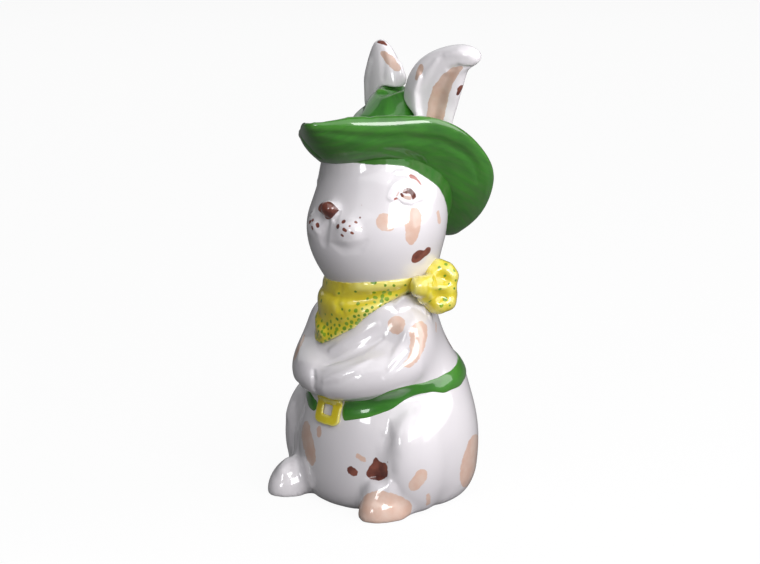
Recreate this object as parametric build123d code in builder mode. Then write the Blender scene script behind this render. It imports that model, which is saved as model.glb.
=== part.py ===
from build123d import *

import os
from math import asin, atan2, cos, hypot, radians, sin

os.makedirs("parts", exist_ok=True)

# A glazed ceramic rabbit in a cowboy hat, kerchief and belt, sitting upright.
# Millimetres. +Z is up, the face looks along -Y, the rabbit's own left is +X, and the
# origin is the middle of the flat underside. The body and the head are hollow castings.
# The other pieces are pressed in solid clay and luted on with slip before the first
# firing, so they meet face to face.

wall = 4.0                      # thickness of the slip-cast clay
overrun = 1.0                   # how far a cut runs past the face it opens
lute_gap = 0.2                  # room for slip round the neck spigot

# Body
torso_height = 112.0
torso_radius = 48.3
torso_lean = 5.0                # how far the chest leans forward
vent_diameter = 7.0             # lets air out of the hollow in the kiln
vent_setback = 16.0             # behind the middle of the base

# Head
head_height = 84.0
head_radius = 36.6
head_lean = 8.0                 # how far the face leans forward
neck_bore_radius = 17.0
spigot_depth = 3.0
muzzle_half_sizes = (14.0, 14.0, 12.5)
nose_half_sizes = (5.2, 4.0, 4.7)
eye_half_size = 5.0
eye_relief = 0.6
eye_angle = 66.0                # degrees round from the front

# Hat: the brim is a trough with curled sides, tipped back and to the rabbit's right
hat_length = 130.0
hat_half_width = 48.0
hat_rise = 22.0                 # of the curled sides above the line from tip to tip
hat_keel = 7.0                  # of the keel below that line
hat_tilt = 36.0                 # degrees, the front up
hat_roll = 13.0                 # degrees, the rabbit's left side up
hat_thickness = 5.0
crown_height = 52.0
crown_radius = 38.5
crown_lean = 9.0                # how far the crown's top leans back
pinch_depth = 3.0
pinch_radius = 8.0

# Ears
ear_left_length = 42.0
ear_left_half_width = 15.0
ear_left_half_thickness = 7.0
ear_left_turn = 25.0            # degrees outward from straight ahead
ear_right_length = 42.0
ear_right_half_width = 17.0
ear_right_half_thickness = 6.5
ear_right_turn = -12.0

# Arms, folded on the belly
shoulder_radius = 14.0
elbow_radius = 12.5
wrist_radius = 11.0
paw_radius = 9.5

# Legs and tail
haunch_half_sizes = (14.5, 22.0, 31.0)
foot_half_sizes = (13.0, 20.5, 17.5)
tail_radius = 13.0

# Kerchief round the neck, tied in a bow at the rabbit's left
kerchief_thickness = 2.5
kerchief_width = 9.0            # of the band at the back of the neck
kerchief_drop = 33.0            # from the band's upper edge to the point on the chest
kerchief_slant = 6.0            # the upper edge rises this much over the neck's width
knot_half_sizes = (7.5, 7.5, 8.5)
loop_half_sizes = (9.5, 13.0, 8.5)
loop_tilt = 24.0                # degrees, each loop away from level

# Belt and buckle
belt_relief = 1.0
buckle_relief = 3.4
buckle_width = 18.0
buckle_height = 15.0
buckle_corner = 3.5
buckle_slot_width = 6.5
buckle_slot_height = 5.5

# Stations up the body: height, radius and lean shares
torso_shares = (
    (0.000, 0.840, 0.10),
    (0.036, 0.920, 0.10),
    (0.125, 0.983, 0.20),
    (0.250, 1.000, 0.30),
    (0.375, 0.970, 0.30),
    (0.500, 0.890, 0.30),
    (0.590, 0.828, 0.20),
    (0.680, 0.766, -0.50),
    (0.786, 0.673, -0.90),
    (0.893, 0.625, -1.00),
    (1.000, 0.555, -1.00),
)

# Stations up the head: height, radius and lean shares
head_shares = (
    (0.000, 0.715, -0.62),
    (0.070, 0.800, -0.60),
    (0.180, 0.885, -0.92),
    (0.330, 0.979, -1.00),
    (0.440, 1.000, -0.875),
    (0.550, 0.965, -0.625),
    (0.670, 0.905, -0.44),
    (0.810, 0.760, -0.575),
    (0.905, 0.587, -0.575),
    (0.964, 0.373, -0.575),
    (1.000, 0.120, -0.575),
)

# Stations along the brim from the back tip: length, half width, rise, keel and
# thickness shares
brim_shares = (
    (0.00, 0.10, 0.03, -0.05, 0.30),
    (0.03, 0.27, 0.15, -0.30, 0.60),
    (0.06, 0.44, 0.27, -0.50, 0.80),
    (0.15, 0.73, 0.59, -0.85, 1.00),
    (0.27, 0.930, 0.82, -1.00, 1.00),
    (0.42, 0.99, 0.97, -0.80, 1.00),
    (0.58, 0.99, 0.93, -0.70, 1.00),
    (0.70, 0.88, 0.79, -0.85, 1.00),
    (0.80, 0.65, 0.55, -1.00, 1.00),
    (0.88, 0.43, 0.31, -0.80, 1.00),
    (0.95, 0.22, 0.10, -0.60, 0.80),
    (1.00, 0.06, 0.02, -0.15, 0.30),
)

# Stations up the crown: height, radius and lean shares, and the share of the hat's slope
crown_shares = (
    (-0.140, 0.980, -0.37, 1.00),
    (0.000, 1.000, 0.22, 1.00),
    (0.286, 0.910, 0.83, 0.94),
    (0.590, 0.600, 0.44, 0.61),
    (0.795, 0.455, 0.72, 0.33),
    (0.905, 0.387, 1.00, 0.17),
    (0.970, 0.314, 1.05, 0.08),
    (1.000, 0.156, 1.05, 0.00),
)

# Stations along each ear: sideways, up, forward, half width and half thickness shares
ear_left_shares = (
    (0.00, -0.16, 0.00, 0.80, 0.80),
    (0.02, 0.03, 0.00, 0.88, 0.90),
    (0.07, 0.30, 0.01, 0.94, 1.00),
    (0.13, 0.49, 0.02, 0.98, 1.00),
    (0.25, 0.68, 0.02, 0.92, 1.00),
    (0.43, 0.86, 0.00, 0.68, 0.95),
    (0.60, 0.96, -0.02, 0.46, 0.85),
    (0.75, 0.98, -0.05, 0.30, 0.65),
    (0.82, 0.97, -0.06, 0.12, 0.30),
)
ear_right_shares = (
    (0.03, -0.16, 0.00, 0.80, 0.80),
    (0.03, 0.13, 0.00, 0.88, 1.00),
    (0.03, 0.38, 0.00, 0.88, 1.00),
    (0.02, 0.61, 0.00, 0.85, 0.95),
    (-0.01, 0.79, 0.00, 0.64, 0.80),
    (-0.05, 0.92, 0.00, 0.37, 0.55),
    (-0.08, 0.98, 0.00, 0.12, 0.30),
)

# Places on the body: sideways and forward shares of its radius, share of its height
arm_left_places_shares = (
    (0.50, 0.14, 0.880),
    (0.59, 0.24, 0.785),
    (0.61, 0.40, 0.700),
    (0.48, 0.64, 0.665),
    (0.28, 0.81, 0.635),
    (0.07, 0.90, 0.615),
)
arm_right_places_shares = (
    (0.50, 0.14, 0.860),
    (0.58, 0.27, 0.760),
    (0.60, 0.43, 0.665),
    (0.47, 0.65, 0.625),
    (0.28, 0.82, 0.620),
    (0.07, 0.90, 0.615),
)
haunch_place_shares = (0.760, 0.31, 0.250)
foot_left_place_shares = (0.640, 0.580, 0.010)
foot_right_place_shares = (-0.645, 0.715, 0.010)
tail_place_shares = (0.00, -0.98, 0.200)

# Lower edge of the kerchief from the front: sideways shares of the neck's radius, and
# drop shares
kerchief_edge_shares = (
    (-1.30, 0.15),
    (-1.12, 0.55),
    (-0.92, 0.84),
    (-0.65, 0.98),
    (-0.38, 1.00),
    (0.40, 0.68),
    (0.85, 0.32),
    (1.10, 0.16),
)

# Belt from the side: setback shares of the body's radius, lower and upper edge shares
# of its height
belt_edge_shares = (
    (-1.20, 0.430, 0.505),
    (-0.87, 0.436, 0.520),
    (-0.79, 0.456, 0.537),
    (-0.60, 0.504, 0.585),
    (-0.46, 0.545, 0.608),
    (-0.30, 0.567, 0.618),
    (-0.10, 0.558, 0.626),
    (0.10, 0.550, 0.636),
    (0.42, 0.563, 0.658),
    (1.20, 0.570, 0.680),
)


def placed(shares, side=1):
    sideways, forward, up = shares
    return (side * sideways * torso_radius, -forward * torso_radius, up * torso_height)


def stack(stations, base, height, radius, lean, grow=0):
    # a form through level circles, thickened all round by grow
    with BuildPart() as form:
        for up_share, radius_share, lean_share in stations:
            with BuildSketch(Plane.XY.offset(base + height * up_share)):
                with Locations((0, lean * lean_share)):
                    Circle(radius * radius_share + grow)
        loft()
    return form.part


def torso_form(grow=0):
    return stack(torso_shares, 0, torso_height, torso_radius, torso_lean, grow)


def head_form(grow=0):
    return stack(head_shares, torso_height, head_height, head_radius, head_lean, grow)


def pebble(half_sizes):
    with BuildPart() as form:
        Sphere(1)
        scale(by=half_sizes)
    return form.part


# Body casting: a shell open at the neck, with a vent in its floor
torso_solid = torso_form()
torso_hollow = stack(
    torso_shares, wall, torso_height - 2 * wall, torso_radius, torso_lean, -wall
)
neck_radius = torso_radius * torso_shares[-1][1]
neck_setback = torso_lean * torso_shares[-1][2]
with BuildPart() as torso:
    add(torso_solid)
    add(torso_hollow, mode=Mode.SUBTRACT)
    with BuildSketch(Plane.XY.offset(torso_height - 2 * wall)):
        with Locations((0, neck_setback)):
            Circle(neck_radius - wall)
    extrude(amount=2 * wall + overrun, mode=Mode.SUBTRACT)
    with BuildSketch(Plane.XY.offset(-overrun)):
        with Locations((0, vent_setback)):
            Circle(vent_diameter / 2)
    extrude(amount=wall + 2 * overrun, mode=Mode.SUBTRACT)

# Head casting: its spigot drops into the neck, and its hollow opens through the spigot
head_solid = head_form()
head_top = torso_height + head_height
head_hollow = stack(
    head_shares, torso_height + wall, head_height - 2 * wall, head_radius, head_lean, -wall
)
muzzle_form = pebble(muzzle_half_sizes)
muzzle_sideways = 0.60 * muzzle_half_sizes[0]
muzzle_forward = 0.83 * head_radius
muzzle_height = torso_height + 0.42 * head_height
with BuildPart() as head:
    add(head_solid)
    for side in (1, -1):
        with Locations((side * muzzle_sideways, -muzzle_forward, muzzle_height)):
            add(muzzle_form)
    with BuildSketch(Plane.XY.offset(torso_height - spigot_depth)):
        with Locations((0, neck_setback)):
            Circle(neck_radius - wall - lute_gap)
    extrude(amount=spigot_depth)
    add(head_hollow, mode=Mode.SUBTRACT)
    with BuildSketch(Plane.XY.offset(torso_height - spigot_depth - overrun)):
        with Locations((0, neck_setback)):
            Circle(neck_bore_radius)
    extrude(amount=spigot_depth + overrun + 2 * wall, mode=Mode.SUBTRACT)

# Nose, pressed on above and between the muzzle pads
nose_form = pebble(nose_half_sizes)
nose_forward = muzzle_forward + 0.83 * muzzle_half_sizes[1]
nose_height = muzzle_height + 0.97 * muzzle_half_sizes[2]
with BuildPart() as nose:
    with Locations((0, -nose_forward, nose_height)):
        add(nose_form)
    add(head.part, mode=Mode.SUBTRACT)

# Eyes: round sprigs that follow the head
eye_forward = head_radius * cos(radians(eye_angle))
eye_sideways = head_radius * sin(radians(eye_angle))
eye_height = torso_height + 0.68 * head_height
eye_cover = head_form(eye_relief)
eyes = {}
for name, side in (("eye_left", 1), ("eye_right", -1)):
    with BuildPart() as eye:
        with Locations((side * eye_sideways, -eye_forward - 0.44 * head_lean, eye_height)):
            Sphere(eye_half_size)
        add(eye_cover, mode=Mode.INTERSECT)
        add(head_solid, mode=Mode.SUBTRACT)
    eyes[name] = eye.part


# Hat brim: troughs of even thickness with rounded rims, square to the line tip to tip
def trough(half_width, depth, thickness):
    outer_radius = hypot(half_width, depth) ** 2 / (2 * depth)
    inner_radius = outer_radius - thickness
    middle_radius = outer_radius - thickness / 2
    spread = 2 * atan2(depth, half_width)
    rim_spread = spread + asin(thickness / 2 / middle_radius)

    def on_arc(radius, angle):
        return (radius * sin(angle), outer_radius - radius * cos(angle))

    left_outside = on_arc(outer_radius, -spread)
    left_inside = on_arc(inner_radius, -spread)
    right_outside = on_arc(outer_radius, spread)
    right_inside = on_arc(inner_radius, spread)
    with BuildSketch() as section:
        with BuildLine():
            ThreePointArc(left_outside, (0, 0), right_outside)
            ThreePointArc(right_outside, on_arc(middle_radius, rim_spread), right_inside)
            ThreePointArc(right_inside, (0, thickness), left_inside)
            ThreePointArc(left_inside, on_arc(middle_radius, -rim_spread), left_outside)
        make_face()
    return section.sketch


def hat_directions(slope_share):
    # across, along and upright directions of the hat, or of a flatter section of it
    tilt = radians(hat_tilt * slope_share)
    roll = radians(hat_roll * slope_share)
    along = Vector(0, -cos(tilt), sin(tilt))
    across = Vector(1, 0, 0) * cos(roll) + Vector(0, sin(tilt), cos(tilt)) * sin(roll)
    return across, along, along.cross(across)


hat_across, hat_along, hat_upright = hat_directions(1)
hat_middle = Vector(0, -0.43 * head_lean, torso_height + 0.667 * head_height)
brim_sections = []
for length_share, width_share, rise_share, keel_share, thickness_share in brim_shares:
    keel = hat_keel * keel_share
    bottom = hat_middle + hat_along * (hat_length * (length_share - 0.5)) + hat_upright * keel
    section = trough(
        hat_half_width * width_share,
        hat_rise * rise_share - keel,
        hat_thickness * thickness_share,
    )
    brim_sections.append(Plane(origin=bottom, x_dir=hat_across, z_dir=hat_along) * section)
with BuildPart() as brim_whole:
    loft(sections=brim_sections)
with BuildPart() as hat_brim:
    add(brim_whole.part)
    add(head_solid, mode=Mode.SUBTRACT)

# Hat crown: a cap over the head, its sections turning from the hat's slope to level,
# pinched from front to back
crown_base = torso_height + 0.61 * head_height
crown_top = crown_base + crown_height
crown_sections = []
for up_share, radius_share, lean_share, slope_share in crown_shares:
    across, _, upright = hat_directions(slope_share)
    centre = Vector(0, crown_lean * lean_share, crown_base + crown_height * up_share)
    with BuildSketch() as crown_section:
        Circle(crown_radius * radius_share)
    crown_plane = Plane(origin=centre, x_dir=across, z_dir=upright)
    crown_sections.append(crown_plane * crown_section.sketch)
with BuildPart() as crown_whole:
    loft(sections=crown_sections)
with BuildPart() as pinch:
    with BuildSketch(Plane.XZ):
        with Locations((0, crown_top + pinch_radius - pinch_depth)):
            Circle(pinch_radius)
    extrude(amount=crown_radius, both=True)
with BuildPart() as hat_crown:
    add(crown_whole.part)
    add(pinch.part, mode=Mode.SUBTRACT)
    add(brim_whole.part, mode=Mode.SUBTRACT)
    add(head_solid, mode=Mode.SUBTRACT)
crown_cap = hat_crown.part.solids().sort_by(SortBy.VOLUME)[-1]


# Ears: ellipses square to a path that bends in the plane of the ear
def ear_form(stations, root, length, half_width, half_thickness, turn):
    facing = Vector(sin(radians(turn)), -cos(radians(turn)), 0)
    places = []
    for sideways, up, forward, _, _ in stations:
        places.append(root + Vector(sideways, -forward, up) * length)
    with BuildPart() as form:
        with BuildLine():
            path = Spline(*places)
        for place, shares in zip(places, stations):
            along = path.tangent_at(path.param_at_point(place))
            with BuildSketch(Plane(origin=place, x_dir=facing.cross(along), z_dir=along)):
                Ellipse(half_width * shares[3], half_thickness * shares[4])
        loft()
    return form.part


ears = {}
for name, form in (
    (
        "ear_left",
        ear_form(
            ear_left_shares,
            Vector(0.52 * crown_radius, 0.20 * crown_radius, head_top),
            ear_left_length,
            ear_left_half_width,
            ear_left_half_thickness,
            ear_left_turn,
        ),
    ),
    (
        "ear_right",
        ear_form(
            ear_right_shares,
            Vector(-0.40 * crown_radius, 0.31 * crown_radius, head_top),
            ear_right_length,
            ear_right_half_width,
            ear_right_half_thickness,
            ear_right_turn,
        ),
    ),
):
    with BuildPart() as ear:
        add(form)
        add(brim_whole.part, mode=Mode.SUBTRACT)
        add(head_solid, mode=Mode.SUBTRACT)
        add(crown_whole.part, mode=Mode.SUBTRACT)
    ears[name] = ear.part.solids().sort_by(Axis.Z)[-1]

# Belt: the body's form thickened, kept between two edges seen from the side
with BuildPart() as belt_band:
    with BuildSketch(Plane.YZ):
        with BuildLine():
            Polyline(
                [(torso_radius * s, torso_height * low) for s, low, _ in belt_edge_shares]
                + [(torso_radius * s, torso_height * up) for s, _, up in belt_edge_shares[::-1]],
                close=True,
            )
        make_face()
    extrude(amount=2 * torso_radius, both=True)
belt_cover = torso_form(belt_relief)
with BuildPart() as belt:
    add(belt_band.part)
    add(belt_cover, mode=Mode.INTERSECT)
    add(torso_solid, mode=Mode.SUBTRACT)

# Buckle: a plate that follows the belly over the belt, with a slot through it
buckle_cover = torso_form(buckle_relief)
with BuildPart() as buckle:
    with BuildSketch(Plane.XZ):
        with Locations((0, torso_height * 0.475)):
            RectangleRounded(buckle_width, buckle_height, buckle_corner)
            Rectangle(buckle_slot_width, buckle_slot_height, mode=Mode.SUBTRACT)
    extrude(amount=2 * torso_radius)
    add(buckle_cover, mode=Mode.INTERSECT)
    add(torso_solid, mode=Mode.SUBTRACT)
    add(belt.part, mode=Mode.SUBTRACT)

# Haunches and feet, flat underneath, each foot luted to the body and its haunch
haunch_form = pebble(haunch_half_sizes)
foot_form = pebble(foot_half_sizes)
legs = {}
for name, side, foot_shares in (
    ("left", 1, foot_left_place_shares),
    ("right", -1, foot_right_place_shares),
):
    with BuildPart() as haunch_whole:
        with Locations(placed(haunch_place_shares, side)):
            add(haunch_form)
        split(bisect_by=Plane.XY, keep=Keep.TOP)
    with BuildPart() as haunch:
        add(haunch_whole.part)
        add(torso_solid, mode=Mode.SUBTRACT)
        add(belt.part, mode=Mode.SUBTRACT)
    with BuildPart() as foot:
        with Locations(placed(foot_shares)):
            add(foot_form)
        split(bisect_by=Plane.XY, keep=Keep.TOP)
        add(torso_solid, mode=Mode.SUBTRACT)
        add(haunch_whole.part, mode=Mode.SUBTRACT)
    legs["haunch_" + name] = haunch.part
    legs["foot_" + name] = foot.part

with BuildPart() as tail:
    with Locations(placed(tail_place_shares)):
        Sphere(tail_radius)
    add(torso_solid, mode=Mode.SUBTRACT)

# Kerchief: a cloth lying over the neck and chest, cut to its edges seen from the front
kerchief_top = torso_height + 0.075 * head_height


def kerchief_edge(sideways_share, drop):
    # a point below the slanting upper edge
    upper_edge = kerchief_top + kerchief_slant / 2 * sideways_share
    return (neck_radius * sideways_share, upper_edge - drop)


with BuildPart() as kerchief_cut:
    with BuildSketch(Plane.XZ):
        with BuildLine():
            Polyline(
                [kerchief_edge(s, kerchief_drop * d) for s, d in kerchief_edge_shares]
                + [kerchief_edge(2, 0), kerchief_edge(-2, 0)],
                close=True,
            )
        make_face()
    extrude(amount=2 * torso_radius)
    with BuildSketch(Plane.XZ):
        with BuildLine():
            Polyline(
                kerchief_edge(-2, kerchief_width),
                kerchief_edge(2, kerchief_width),
                kerchief_edge(2, 0),
                kerchief_edge(-2, 0),
                close=True,
            )
        make_face()
    extrude(amount=-2 * torso_radius)
torso_cover = torso_form(kerchief_thickness)
head_cover = head_form(kerchief_thickness)
with BuildPart() as kerchief_cover:
    add(torso_cover)
    add(head_cover)
    with BuildSketch(Plane.XY.offset(torso_height - kerchief_width)):
        with Locations((0, neck_setback)):
            Circle(neck_radius + 1.4 * kerchief_thickness)
    extrude(amount=2 * kerchief_width)
with BuildPart() as kerchief:
    add(kerchief_cover.part)
    add(kerchief_cut.part, mode=Mode.INTERSECT)
    add(torso_solid, mode=Mode.SUBTRACT)
    add(head_solid, mode=Mode.SUBTRACT)

# Bow tied at the rabbit's left: a knot with two loops behind it
knot_form = pebble(knot_half_sizes)
knot_height = kerchief_top + 0.05 * kerchief_width
with BuildPart() as bow_knot:
    with Locations((1.24 * neck_radius, -0.40 * neck_radius, knot_height)):
        add(knot_form)
    add(kerchief_cover.part, mode=Mode.SUBTRACT)
loop_form = pebble(loop_half_sizes)
loops = {}
bow_taken = [kerchief_cover.part, torso_solid, head_solid, bow_knot.part]
for name, side in (("bow_loop_upper", 1), ("bow_loop_lower", -1)):
    loop_height = knot_height + (0.74 * side - 0.55) * loop_half_sizes[2]
    loop_place = (1.15 * neck_radius, 0.24 * neck_radius, loop_height)
    with BuildPart() as loop:
        with Locations(Location(loop_place, (side * loop_tilt, 0, 0))):
            add(loop_form)
        for form in bow_taken:
            add(form, mode=Mode.SUBTRACT)
    loops[name] = loop.part
    bow_taken.append(loop.part)


# Arms: circles square to a curved path with a ball at each end, cut to lie on the body,
# the belt and the kerchief, and meeting paw to paw on the middle plane
def limb_form(places, radii):
    with BuildPart() as form:
        with BuildLine():
            path = Spline(*places)
        for place, radius in zip(places, radii):
            along = path.tangent_at(path.param_at_point(Vector(*place)))
            with BuildSketch(Plane(origin=place, x_dir=Vector(0, 0, 1), z_dir=along)):
                Circle(radius)
        loft()
        for place, radius in ((places[0], radii[0]), (places[-1], radii[-1])):
            with Locations(place):
                Sphere(radius)
        split(bisect_by=Plane.YZ, keep=Keep.TOP)
    return form.part


arm_radii = (
    0.85 * shoulder_radius,
    shoulder_radius,
    elbow_radius,
    (elbow_radius + wrist_radius) / 2,
    wrist_radius,
    paw_radius,
)
with BuildPart() as arm_mirrored:
    add(limb_form([placed(shares) for shares in arm_right_places_shares], arm_radii))
    mirror(about=Plane.YZ, mode=Mode.REPLACE)
arm_left_form = limb_form([placed(shares) for shares in arm_left_places_shares], arm_radii)
arms = {}
for name, form in (("arm_left", arm_left_form), ("arm_right", arm_mirrored.part)):
    with BuildPart() as arm:
        add(form)
        add(torso_solid, mode=Mode.SUBTRACT)
        add(kerchief.part, mode=Mode.SUBTRACT)
        add(belt.part, mode=Mode.SUBTRACT)
        add(buckle.part, mode=Mode.SUBTRACT)
        add(bow_knot.part, mode=Mode.SUBTRACT)
        add(loops["bow_loop_lower"], mode=Mode.SUBTRACT)
    arms[name] = arm.part.solids().sort_by(SortBy.VOLUME)[-1]

pieces = {
    "torso": torso.part,
    "head": head.part,
    "nose": nose.part,
    "hat_brim": hat_brim.part,
    "hat_crown": crown_cap,
    "belt": belt.part,
    "buckle": buckle.part,
    "tail": tail.part,
    "kerchief": kerchief.part,
    "bow_knot": bow_knot.part,
}
for group in (eyes, ears, arms, legs, loops):
    pieces.update(group)
for name, piece in pieces.items():
    piece.label = name
    print(name, len(piece.solids()), round(piece.volume))
    export_step(piece, f"parts/{name}.step")
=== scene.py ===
import math

import bmesh
import bpy
import numpy as np
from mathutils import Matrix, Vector
from mathutils.bvhtree import BVHTree


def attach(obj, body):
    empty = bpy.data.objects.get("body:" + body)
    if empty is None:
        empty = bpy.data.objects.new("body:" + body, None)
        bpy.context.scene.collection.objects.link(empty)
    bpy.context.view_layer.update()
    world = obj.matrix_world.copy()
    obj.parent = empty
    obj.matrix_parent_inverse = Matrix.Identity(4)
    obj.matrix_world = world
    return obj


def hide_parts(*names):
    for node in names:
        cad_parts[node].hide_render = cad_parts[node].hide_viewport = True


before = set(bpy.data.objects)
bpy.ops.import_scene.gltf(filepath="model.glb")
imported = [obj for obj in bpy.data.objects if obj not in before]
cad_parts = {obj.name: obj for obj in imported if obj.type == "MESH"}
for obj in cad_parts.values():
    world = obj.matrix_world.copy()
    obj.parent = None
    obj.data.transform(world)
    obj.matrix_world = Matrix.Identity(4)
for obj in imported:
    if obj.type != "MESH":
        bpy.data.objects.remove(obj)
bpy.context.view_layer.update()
mm = 0.001
tiny = 1e-6  # keeps a division from meeting 0
mergeReach = 2e-6
outsideReach = 0.2  # further out than any part of the rabbit
unpainted = 0.02  # a field's value where no paint is near
acrossMiddle = np.array((-1, 1, 1))
print("frame loaded:", len(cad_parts), "nodes")

# the camera that took the photograph, and pixels of it as places on the rabbit

photoView = {
    "azimuth": 45.0,
    "elevation": 15.0,
    "distance": 1271 * mm,
    "aim": (-2.7 * mm, -2.6 * mm, 113 * mm),
    "lens": 114.84,
    "sensor": 36.0,
    "width": 760,
    "height": 564,
}


def wayTo(azimuth, elevation):
    # outwards, in degrees; azimuth runs from the face towards the rabbit's left
    turn, lift = math.radians(azimuth), math.radians(elevation)
    return Vector((math.sin(turn) * math.cos(lift), -math.cos(turn) * math.cos(lift), math.sin(lift)))


backAxis = wayTo(photoView["azimuth"], photoView["elevation"])
rightAxis = wayTo(photoView["azimuth"] + 90, 0)
upAxis = backAxis.cross(rightAxis)
pixelPull = photoView["lens"] / photoView["sensor"] * photoView["width"]
eyePoint = Vector(photoView["aim"]) + backAxis * photoView["distance"]
pixelSize = photoView["distance"] / pixelPull  # metres across one pixel at the rabbit


def aimFrom(made, place, back):
    made.location = place
    made.rotation_mode = "QUATERNION"
    made.rotation_quaternion = (-back).to_track_quat("-Z", "Y")
    bpy.context.scene.collection.objects.link(made)


def makeCamera():
    data = bpy.data.cameras.new("photoCamera")
    data.lens = photoView["lens"]
    data.sensor_width = photoView["sensor"]
    data.clip_start = 0.05
    data.clip_end = 60
    camera = bpy.data.objects.new("photoCamera", data)
    aimFrom(camera, eyePoint, backAxis)
    bpy.context.scene.camera = camera


def pixelRay(px, py):
    across = (px - photoView["width"] / 2) / pixelPull
    above = (photoView["height"] / 2 - py) / pixelPull
    return (rightAxis * across + upAxis * above - backAxis).normalized()


def tracePoint(tree, px, py, tries=6):
    # the place on a surface that shows at this pixel; a near miss takes the closest place
    line = pixelRay(px, py)
    hit = tree.ray_cast(eyePoint, line)[0]
    if hit is None:
        reach = photoView["distance"]
        hit = tree.find_nearest(eyePoint + line * reach)[0]
        for _ in range(tries):
            hit = tree.find_nearest(eyePoint + line * (hit - eyePoint).dot(line))[0]
    return np.array(hit)


def tracedStroke(tree, stops, mirrored=False):
    # stops are (pixel x, pixel y, radius in pixels)
    flip = acrossMiddle if mirrored else 1
    return [(tracePoint(tree, px, py) * flip, radius * pixelSize) for px, py, radius in stops]


def projectPoints(points):
    offset = points - np.array(eyePoint)
    pull = pixelPull / -(offset @ np.array(backAxis))
    across = photoView["width"] / 2 + pull * (offset @ np.array(rightAxis))
    down = photoView["height"] / 2 - pull * (offset @ np.array(upAxis))
    return np.stack([across, down], 1)


def roundedOutline(corners, rounds=3):
    corners = np.array(corners, float)
    for _ in range(rounds):
        following = np.roll(corners, -1, 0)
        cuts = [0.75 * corners + 0.25 * following, 0.25 * corners + 0.75 * following]
        corners = np.stack(cuts, 1).reshape(-1, 2)
    return corners


def outlineField(points, tree, corners, mirrored=False, reach=25 * mm):
    # distance to an outline drawn over the photograph, below 0 inside it
    place = tracePoint(tree, *np.mean(corners, 0))
    seen = points * acrossMiddle if mirrored else points
    field = np.full(len(points), unpainted)
    near = np.linalg.norm(seen - place, axis=1) < reach
    spots = projectPoints(seen[near])
    ring = roundedOutline(corners)
    best = np.full(len(spots), np.inf)
    inside = np.zeros(len(spots), bool)
    for start, end in zip(ring, np.roll(ring, -1, 0)):
        run = end - start
        share = np.clip((spots - start) @ run / max(run @ run, tiny), 0, 1)
        best = np.minimum(best, np.linalg.norm(spots - start - share[:, None] * run, axis=1))
        crosses = (start[1] > spots[:, 1]) != (end[1] > spots[:, 1])
        along = start[0] + (spots[:, 1] - start[1]) / (run[1] or tiny) * run[0]
        inside ^= crosses & (spots[:, 0] < along)
    field[near] = np.where(inside, -best, best) * pixelSize
    return field


# meshes as arrays

def newObject(name, mesh):
    made = bpy.data.objects.new(name, mesh)
    bpy.context.scene.collection.objects.link(made)
    return made


def builtPiece(name, points, faces):
    mesh = bpy.data.meshes.new(name)
    mesh.from_pydata(points, [], faces)
    mesh.update()
    return newObject(name, mesh)


def joinedForm(nodes):
    # the CAD nodes come as loose triangles, so each is merged on its own before they are joined
    whole = bmesh.new()
    for node in nodes:
        part = bmesh.new()
        part.from_mesh(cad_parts[node].data)
        bmesh.ops.remove_doubles(part, verts=part.verts, dist=mergeReach)
        held = bpy.data.meshes.new("held")
        part.to_mesh(held)
        part.free()
        whole.from_mesh(held)
        bpy.data.meshes.remove(held)
    return whole


def voxelPiece(form, name, grain):
    # one skin over a whole form, as an object with no modifier left
    mesh = bpy.data.meshes.new(name + "Raw")
    form.to_mesh(mesh)
    form.free()
    raw = newObject(name + "Raw", mesh)
    remesh = raw.modifiers.new("grain", "REMESH")
    remesh.mode = "VOXEL"
    remesh.voxel_size = grain
    bpy.context.view_layer.update()
    evaluated = raw.evaluated_get(bpy.context.evaluated_depsgraph_get())
    skin = bpy.data.meshes.new_from_object(evaluated)
    bpy.data.objects.remove(raw)
    bpy.data.meshes.remove(mesh)
    skin.name = name
    skin.materials.clear()
    print(name, len(skin.polygons), "faces")
    return newObject(name, skin)


def refineNear(piece, spots):
    # halves the edges round each place, for small brush marks
    held = bmesh.new()
    held.from_mesh(piece.data)
    for place, reach in spots:
        centre = Vector(place)
        edges = [e for e in held.edges if all((v.co - centre).length < reach for v in e.verts)]
        bmesh.ops.subdivide_edges(held, edges=edges, cuts=1, use_grid_fill=True)
    held.to_mesh(piece.data)
    held.free()
    piece.data.update()


def readArray(items, name, width, kind=float):
    flat = np.zeros(len(items) * width, kind)
    items.foreach_get(name, flat)
    return flat.reshape(-1, width)


def readPoints(piece):
    return readArray(piece.data.vertices, "co", 3)


def writePoints(piece, points):
    piece.data.vertices.foreach_set("co", points.astype(np.float32).ravel())
    piece.data.update()


def readEdges(piece):
    return readArray(piece.data.edges, "vertices", 2, np.int64)


def readNormals(piece):
    return readArray(piece.data.vertex_normals, "vector", 3)


def surfaceTree(piece):
    return BVHTree.FromPolygons(
        [v.co for v in piece.data.vertices], [p.vertices for p in piece.data.polygons]
    )


def settle(piece, points):
    # writes the places, and gives the surface that they make
    writePoints(piece, points)
    return surfaceTree(piece)


def faceOutwards(piece):
    held = bmesh.new()
    held.from_mesh(piece.data)
    bmesh.ops.recalc_face_normals(held, faces=held.faces)
    held.to_mesh(piece.data)
    held.free()
    piece.data.update()


def easeIn(share):
    share = np.clip(share, 0, 1)
    return share * share * (3 - 2 * share)


def easeBetween(values, low, high, ramp):
    # 1 between low and high, eased to 0 over the ramp inside each end
    return easeIn((values - low) / ramp) * easeIn((high - values) / ramp)


def relax(points, edges, rounds, weight=1.0, strength=0.5):
    first, second = edges[:, 0], edges[:, 1]
    size = len(points)
    count = np.bincount(edges.ravel(), minlength=size)[:, None]
    strength = np.broadcast_to(np.asarray(strength * weight, float), (size,))[:, None]
    for _ in range(rounds):
        total = np.stack([
            np.bincount(first, points[second, axis], size) + np.bincount(second, points[first, axis], size)
            for axis in range(3)
        ], 1)
        points = points + (total / count - points) * strength
    return points


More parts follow.
